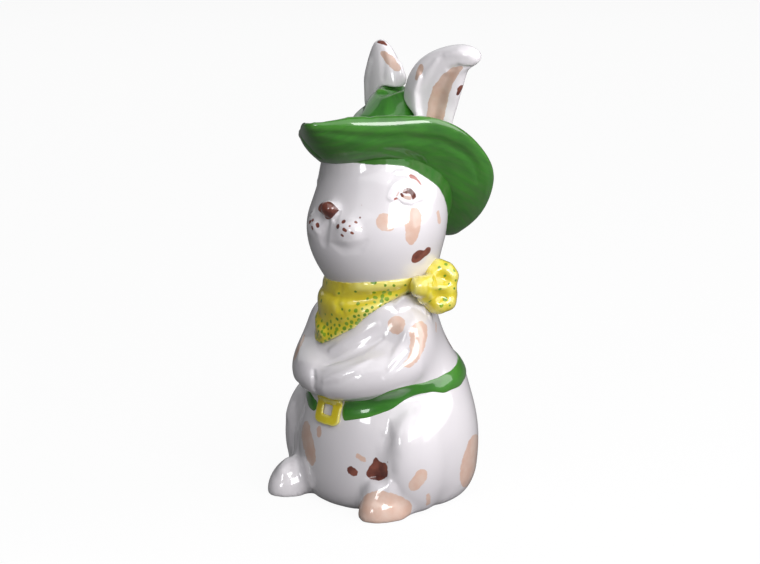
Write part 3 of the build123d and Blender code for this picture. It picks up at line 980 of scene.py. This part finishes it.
earLeft = {
    "grain": 0.55 * mm,
    "carving": [
        ([(434, 121, 7), (437.5, 104, 9), (441.5, 90, 9), (447, 79, 8), (455, 70.5, 5)], -1.7),
        ([(449, 70, 4), (458, 67, 5), (470, 67, 3)], -1.2),
        ([(446, 55, 5), (458, 52, 8), (470, 55, 6)], 0.8),
        ([(415, 112, 4), (419, 92, 6), (427, 74, 6), (437, 60, 4)], 0.7),
    ],
    "pulled": [([(413, 124, 11), (412, 108, 12), (412, 92, 11), (418, 77, 8)], (0.8, 0, 4.2))],
    "beige": [
        [(434.5, 123, 8.2), (437.5, 104, 9.4), (441.5, 90, 8.6), (447.5, 79, 7), (455.5, 71, 4.4),
            (461, 67.5, 1.6)],
        [(416.5, 77.5, 3), (420.5, 68.5, 4)],
    ],
    "brown": [[(458, 94, 1.8), (460.5, 88.5, 3.6), (465, 82, 1.6)]],
}

earRight = {
    "grain": 0.55 * mm,
    "carving": [
        ([(383, 78, 5), (384, 64, 7), (382, 52, 4)], -0.5),
    ],
    "pulled": [
        ([(402, 88, 10), (400, 76, 10), (396, 64, 9)], (2.4, 0, 0)),
        ([(365, 100, 11), (366, 80, 11), (370, 62, 8)], (-1.0, 0, 0)),
    ],
    "beige": [[(383, 53.5, 3), (389, 59.5, 4.8), (397, 68, 3.6)]],
    "brown": [[(378.5, 41.5, 1.6), (382, 42, 2.6), (386.5, 45, 1.2)]],
}


def makeEar(name, node, facts):
    piece, edges, points = smoothPiece(name, [node], facts["grain"])
    points = relax(shaped(piece, points, settle(piece, points), facts), edges, 6)
    storePaint(piece, points, settle(piece, points), facts)
    # the ears' glaze is painted fully in the brighter white, as painted light
    dress(piece, [node], makeWhite(name + "Glaze", [
        ("beige", "beige", "beigeThin", 0.3), ("brown", "brown", "brownThin", 0.2),
    ], 1.0))


# the kerchief and its bow

kerchief = {
    "grain": 0.6 * mm,
    "seed": 11,
    "carving": [
        ([(408, 283, 4), (385, 287, 6), (360, 290, 8), (336, 294, 5)], 0.8),
        ([(406, 288, 3), (385, 294, 5), (362, 301, 6), (338, 310, 5)], -0.8),
        ([(405, 292, 3), (386, 301, 6), (364, 312, 8), (342, 321, 5)], 0.8),
        ([(341, 288, 3), (337, 303, 5), (344, 314, 3)], -0.5),
        ([(318, 316, 8), (319, 326, 11), (323, 333, 9)], 1.9),
    ],
    "rise": 1.7 * mm,
    "riseBand": 5 * mm,
    "lap": 0.35 * mm,
    "dotSizes": (0.62 * mm, 1.15 * mm),
    "dotSpacing": (2.35 * mm, 9 * mm),  # near the lower edge, and far above it
    "denseBand": 24 * mm,
    "denseShare": 0.3,
    "turnStep": 10,
    "leftFrom": 40,
    "leftRamp": 25,
    "sparseLeft": 0.45,
    "outward": 0.3,
    "tries": 9000,
    "slip": 0.3 * mm,
    "tip": (321, 337),
    "tipReach": 11 * mm,
    "tipRelax": 60,
}


def edgeByTurn(points, pick):
    # the highest or lowest point in each direction, at every point's own direction
    turn = azimuths(points)
    step = kerchief["turnStep"]
    count = 360 // step
    cells = np.clip(((turn + 180) / step).astype(int), 0, count - 1)
    found = [pick(points[cells == cell, 2]) if (cells == cell).any() else 0 for cell in range(count)]
    return np.interp(turn, (np.arange(count) + 0.5) * step - 180, found)


def scatterDots(points, normals, facts):
    # dabs close together by the cloth's lower edge and on its point, and few above
    chance = np.random.default_rng(facts["seed"])
    above = np.clip((points[:, 2] - edgeByTurn(points, np.min)) / facts["denseBand"], 0, 1)
    left = facts["sparseLeft"] * easeIn((azimuths(points) - facts["leftFrom"]) / facts["leftRamp"])
    dense = facts["denseShare"]
    sparse = np.maximum(easeIn((above - dense) / (1 - dense)), left)
    close, apart = facts["dotSpacing"]
    spacing = close + (apart - close) * sparse
    outer = np.flatnonzero(outwardShare(points, normals) > facts["outward"])
    chosen, gaps = [], []
    for row in chance.permutation(outer)[:facts["tries"]]:
        place = points[row]
        clear = 0.5 * (spacing[row] + np.array(gaps))
        if not chosen or (np.linalg.norm(np.array(chosen) - place, axis=1) > clear).all():
            chosen.append(place)
            gaps.append(spacing[row])
    field = np.full(len(points), unpainted)
    small, large = facts["dotSizes"]
    for place in chosen:
        radius = small + (large - small) * chance.random()
        slip = place + chance.normal(0, facts["slip"], 3)
        field = np.minimum(field, strokeField(points, [(place, radius), (slip, radius * 0.9)]))
    print("kerchief dots:", len(chosen))
    return field


def lapOnto(points, normals, tree, weight, least):
    # lays the outer face down on the surface under it and leaves the inner face inside
    for row in np.flatnonzero((weight > 0.01) & (outwardShare(points, normals) > -0.2)):
        rest, lift = tree.find_nearest(points[row])[:2]
        height = float((Vector(points[row]) - rest).dot(lift))
        wanted = min(height, least) if height > 0 else least
        goal = np.array(rest + lift * max(wanted, least * 0.5))
        points[row] += (goal - points[row]) * weight[row]
    return points


def makeKerchief(headTree):
    piece, edges, points = smoothPiece("kerchiefGlazed", ["kerchief"], kerchief["grain"])
    tip = tracePoint(settle(piece, points), *kerchief["tip"])
    near = 1 - easeIn(np.linalg.norm(points - tip, axis=1) / kerchief["tipReach"])
    points = relax(points, edges, kerchief["tipRelax"], near)
    points = shaped(piece, points, settle(piece, points), kerchief)
    below = edgeByTurn(points, np.max) - points[:, 2]
    top = easeIn(1 - below / kerchief["riseBand"])
    points = points + np.outer(top * kerchief["rise"], (0, 0, 1))
    writePoints(piece, points)
    rim = easeIn(1 - below / (0.5 * kerchief["riseBand"]))
    points = relax(lapOnto(points, readNormals(piece), headTree, rim, kerchief["lap"]), edges, 4)
    writePoints(piece, points)
    storeField(piece, "dots", scatterDots(points, readNormals(piece), kerchief))
    storeBulge(piece, points, edges)
    dress(piece, ["kerchief"], makeYellow("kerchiefYellow", True))


bow = {
    "nodes": ["bow_knot", "bow_loop_upper", "bow_loop_lower"],
    "grain": 0.5 * mm,
    "lumps": [  # pixel x, pixel y, half width and half height in pixels, set back in millimetres
        (415.5, 286.5, 5.4, 10.5, 4.6), (419.3, 286.5, 6.5, 11.2, 3.9), (424, 286.5, 6, 11, 4.6),
        (429, 281, 7, 8, 6), (429, 292, 7, 8, 6), (424, 299, 7, 6, 7.5), (431, 305, 8, 8, 7.5),
        (433, 272, 9, 8.5, 4), (438.5, 267.5, 9.5, 9.5, 4), (446, 270, 9.5, 9, 4), (450.5, 276, 9, 9, 4),
        (437, 286, 10, 11, 4.6), (447.5, 287, 9.8, 11, 4.3),
        (431.5, 299, 10.5, 10.5, 4), (438, 304, 11, 10.7, 4), (446.5, 301, 10.5, 10.5, 4),
        (449, 294, 9, 9, 4),
    ],
    "depth": 6.4 * mm,
    "fill": 260,
    "relax": 25,
    "carving": [
        ([(435, 279, 7), (442, 279, 10), (448, 279, 7)], -1.3),
        ([(434, 293, 6), (440, 296, 9), (446, 298, 7)], -1.1),
        ([(430, 287, 3), (437, 288, 4), (446, 287, 3)], 0.6),
        ([(413.5, 279, 3), (416.5, 286, 3.5), (415.5, 294, 3)], 0.5),
    ],
    "dots": [
        (446, 264.3, 1.8), (439.3, 267.6, 1.7), (454, 270.5, 1.7), (444.9, 275.8, 1.4),
        (433.5, 279.7, 1.3), (449.3, 283.9, 1.2), (455.8, 280.4, 1.4), (440, 289.3, 1.8),
        (454.2, 288.4, 1.3), (429.9, 301.3, 1.9), (445.1, 299.3, 2.4), (441.5, 305.4, 2.2),
        (449.8, 305.4, 1.2),
    ],
}


def lumpForm(tree, lumps, depth):
    # pressed lumps of clay, each seen at its pixel and set back from the solid that it replaces
    form = bmesh.new()
    across, above, back = (np.array(axis) for axis in (rightAxis, upAxis, backAxis))
    for px, py, halfWide, halfHigh, setBack in lumps:
        centre = tracePoint(tree, px, py) - back * setBack * mm
        made = bmesh.ops.create_uvsphere(form, u_segments=24, v_segments=16, radius=1.0)
        for vert in made["verts"]:
            x, y, z = vert.co
            vert.co = (
                centre + across * x * halfWide * pixelSize
                + above * z * halfHigh * pixelSize + back * y * depth
            )
    return form


def makeBow():
    # the lumps reach back into the neck
    solid = joinedForm(bow["nodes"])
    form = lumpForm(BVHTree.FromBMesh(solid), bow["lumps"], bow["depth"])
    solid.free()
    piece = voxelPiece(form, "bowGlazed", bow["grain"])
    edges = readEdges(piece)
    points = fillHollows(piece, readPoints(piece), edges, bow["fill"])
    points = relax(points, edges, bow["relax"])
    points = relax(shaped(piece, points, settle(piece, points), bow), edges, 5)
    tree = settle(piece, points)
    storeField(piece, "dots", paintField(points, tree, [[dot] for dot in bow["dots"]]))
    storeBulge(piece, points, edges)
    dress(piece, bow["nodes"], makeYellow("bowYellow", True))


# the belt, laid on the body between two hand-painted edges, and its buckle

belt = {
    "upperPixels": [
        (340.5, 401), (356, 400.6), (370, 399.4), (386.5, 391.7), (403, 386.4), (419.5, 383),
        (436, 378.2), (444.3, 374), (457.3, 358.7),
    ],
    "lowerPixels": [
        (340, 421), (365, 419), (391, 410), (403, 401.2), (419.5, 394), (432.5, 391.7), (444.3, 393.5),
        (458.4, 387), (465.5, 377.6),
    ],
    "upperUnseen": [
        (150, 73), (180, 72.5), (210, 72), (240, 71), (270, 69.5), (290, 68), (310, 64), (325, 60),
        (342, 54.5),
    ],
    "lowerUnseen": [
        (150, 63), (180, 62.5), (210, 62), (240, 61.5), (270, 61), (290, 59.5), (310, 55.5), (325, 51),
        (337, 49), (346, 48.8),
    ],
    "from": 11.5,
    "to": 347,
    "steps": 420,
    "rows": 12,
    "relief": 0.75 * mm,
    "waver": 0.15,
    "soften": 7,
    "endSteps": 4,
    "edgeSink": 0.12 * mm,
    "sink": 0.6 * mm,
}


def edgeHeights(tree, pixels, unseen, degrees):
    known = list(unseen)
    for px, py in pixels:
        x, y, z = tracePoint(tree, px, py)
        known.append((math.degrees(math.atan2(x, -y)) % 360, z / mm))
    known.sort()
    heights = np.interp(degrees, [turn for turn, _ in known], [height for _, height in known])
    kernel = np.hanning(2 * belt["soften"] + 1)
    padded = np.pad(heights, belt["soften"], "edge")
    return np.convolve(padded, kernel / kernel.sum(), "valid")


def beltFaces(steps, rows):
    # a closed tube round the outer and inner rows, which lie one after the other, and its two ends
    offset = steps * rows
    ring = list(range(rows)) + [offset + row for row in reversed(range(rows))]
    faces = []
    for step in range(steps - 1):
        here = [step * rows + place for place in ring]
        for a, b in zip(here, here[1:] + here[:1]):
            faces.append((a, a + rows, b + rows, b))
    for step in (0, steps - 1):
        for row in range(rows - 1):
            a = step * rows + row
            faces.append((a, a + 1, offset + a + 1, offset + a))
    return faces


def makeBelt(bodyTree):
    steps, rows = belt["steps"], belt["rows"]
    degrees = np.linspace(belt["from"], belt["to"], steps)
    turns = np.radians(degrees)
    upper = edgeHeights(bodyTree, belt["upperPixels"], belt["upperUnseen"], degrees)
    lower = edgeHeights(bodyTree, belt["lowerPixels"], belt["lowerUnseen"], degrees)
    upper = upper + belt["waver"] * (np.sin(turns * 9) + 0.6 * np.sin(turns * 23 + 1))
    lower = lower + belt["waver"] * (np.sin(turns * 11 + 2) + 0.6 * np.sin(turns * 19))
    shares = np.sin(np.linspace(-math.pi / 2, math.pi / 2, rows))
    outer, inner = [], []
    for step, azimuth in enumerate(degrees):
        fromEnd = min(step, steps - 1 - step)
        endFade = math.sqrt(min(1, (fromEnd + 0.1) / belt["endSteps"]))
        middle, half = (upper[step] + lower[step]) / 2, (upper[step] - lower[step]) / 2 * endFade
        for share in shares:
            hit, normal = outsideHit(bodyTree, azimuth, middle + half * share)
            rise = (1 - abs(share) ** 5) * endFade
            outer.append(hit + normal * (belt["relief"] * rise - belt["edgeSink"] * (1 - rise)))
            inner.append(hit - normal * belt["sink"])
    piece = builtPiece("beltGlazed", outer + inner, beltFaces(steps, rows))
    edges = readEdges(piece)
    top = np.repeat((1.0, 0.0), steps * rows)
    points = relax(readPoints(piece), edges, 2, top, strength=0.4)
    writePoints(piece, points)
    faceOutwards(piece)
    storeBulge(piece, points, edges)
    storeBrush(piece, points)
    dress(piece, ["belt"], makeGreen("beltGreen"))


buckle = {"grain": 0.35 * mm, "relax": 14, "flatten": 0.5}


def makeBuckle(bodyTree):
    piece, edges, points = smoothPiece("buckleGlazed", ["buckle"], buckle["grain"], buckle["relax"])
    for row, point in enumerate(points):
        rest = np.array(bodyTree.find_nearest(point)[0])
        points[row] = rest + (point - rest) * buckle["flatten"]
    writePoints(piece, points)
    storeBulge(piece, points, edges)
    dress(piece, ["buckle"], makeYellow("buckleYellow", False))


# floor, backdrop and lights

studio = {
    "floorRadius": 5.0,
    "floorSides": 96,
    "floorDrop": 0.01 * mm,
    "bendShare": 0.2,
    "bendSteps": 8,
    "wallRise": 1.3,
    "lampAim": 0.12,
    "floorTone": 0.12,
    "floorToneSeen": 0.95,
    "glowSeen": 0.94,
    "glowMirrored": 0.05,
    "worldLevel": 0.09,
    "key": {"azimuth": 77, "elevation": 22, "distance": 1.15, "size": (0.72, 0.42),
        "power": 9.3, "colour": (1, 0.975, 0.99)},
    "fill": {"azimuth": 13, "elevation": 14, "distance": 1.3, "size": (0.32, 0.26),
        "power": 2.3, "colour": (0.97, 0.98, 1)},
    "side": {"azimuth": 128, "elevation": 26, "distance": 1.3, "size": (1.3, 1.2),
        "power": 11.5, "colour": (1, 0.98, 1)},
    "rear": {"azimuth": 232, "elevation": 34, "distance": 1.5, "size": (2.0, 1.6),
        "power": 5, "colour": (0.98, 0.99, 1)},
    "top": {"azimuth": 30, "elevation": 56, "distance": 1.4, "size": (1.7, 1.5),
        "power": 8.0, "colour": (0.99, 0.99, 1)},
}


def floorProfile():
    # (radius, height) from the middle out, up a quarter round to the backdrop
    radius, drop = studio["floorRadius"], studio["floorDrop"]
    bend = studio["bendShare"] * radius
    rows = [(1.0, -drop), (radius - bend, -drop)]
    for step in range(1, studio["bendSteps"] + 1):
        angle = math.pi / 2 * step / studio["bendSteps"]
        rows.append((radius - bend + bend * math.sin(angle), bend * (1 - math.cos(angle)) - drop))
    return rows + [(radius, bend + studio["wallRise"] - drop)]


def makeFloor():
    sides, rows = studio["floorSides"], floorProfile()
    points = [(0, 0, rows[0][1])]
    for radius, height in rows:
        for side in range(sides):
            angle = 2 * math.pi * side / sides
            points.append((radius * math.cos(angle), radius * math.sin(angle), height))
    faces = []
    for side in range(sides):
        step = (side + 1) % sides - side
        faces.append((0, 1 + side, 1 + side + step))
        for low in range(1 + side, 1 + side + (len(rows) - 1) * sides, sides):
            faces.append((low, low + sides, low + sides + step, low + step))
    floor = builtPiece("paleFloor", points, faces)
    floor.data.shade_smooth()
    material = bpy.data.materials.new("paleFloor")
    floor.data.materials.append(material)
    tree, surface = clearedTree(material)
    matt = tree.nodes.new("ShaderNodeBsdfDiffuse")
    glow = tree.nodes.new("ShaderNodeEmission")
    glow.inputs["Color"].default_value = (1, 1, 1, 1)
    glow.inputs["Strength"].default_value = 1.0
    seen = tree.nodes.new("ShaderNodeLightPath").outputs
    direct = addMath(tree, "MAXIMUM", seen["Is Camera Ray"], seen["Is Transmission Ray"])
    dull, pale = (studio["floorTone"],) * 3, (studio["floorToneSeen"],) * 3
    tree.links.new(addMixColour(tree, direct, dull, pale), matt.inputs["Color"])
    mirrored = addMath(tree, "MULTIPLY", seen["Is Glossy Ray"], studio["glowMirrored"])
    mix = tree.nodes.new("ShaderNodeMixShader")
    shown = addMath(tree, "MAXIMUM", addMath(tree, "MULTIPLY", direct, studio["glowSeen"]), mirrored)
    for made, socket in zip((shown, matt.outputs["BSDF"], glow.outputs["Emission"]), mix.inputs):
        tree.links.new(made, socket)
    tree.links.new(mix.outputs["Shader"], surface)


def makeLight(name, facts):
    away = wayTo(facts["azimuth"], facts["elevation"])
    data = bpy.data.lights.new(name, "AREA")
    data.shape = "RECTANGLE"
    data.size, data.size_y = facts["size"]
    data.energy = facts["power"]
    data.color = facts["colour"]
    light = bpy.data.objects.new(name, data)
    aimFrom(light, Vector((0, 0, studio["lampAim"])) + away * facts["distance"], away)


def makeWorld():
    world = bpy.data.worlds.new("studioWorld")
    bpy.context.scene.world = world
    world.use_nodes = True
    background = world.node_tree.nodes["Background"]
    background.inputs["Color"].default_value = (0.95, 0.97, 1.0, 1)
    background.inputs["Strength"].default_value = studio["worldLevel"]


makeCamera()
makeFloor()
makeWorld()
for lightName in ("key", "fill", "side", "rear", "top"):
    makeLight(lightName + "Light", studio[lightName])
print("studio ready")

bodyTree = makeBody()
hatTree = makeHat()
headTree = makeHead(hatTree)
makeEar("earLeftGlazed", "ear_left", earLeft)
makeEar("earRightGlazed", "ear_right", earRight)
makeKerchief(headTree)
makeBow()
makeBelt(bodyTree)
makeBuckle(bodyTree)
print("pieces ready")

bpy.context.scene.view_settings.view_transform = "Standard"
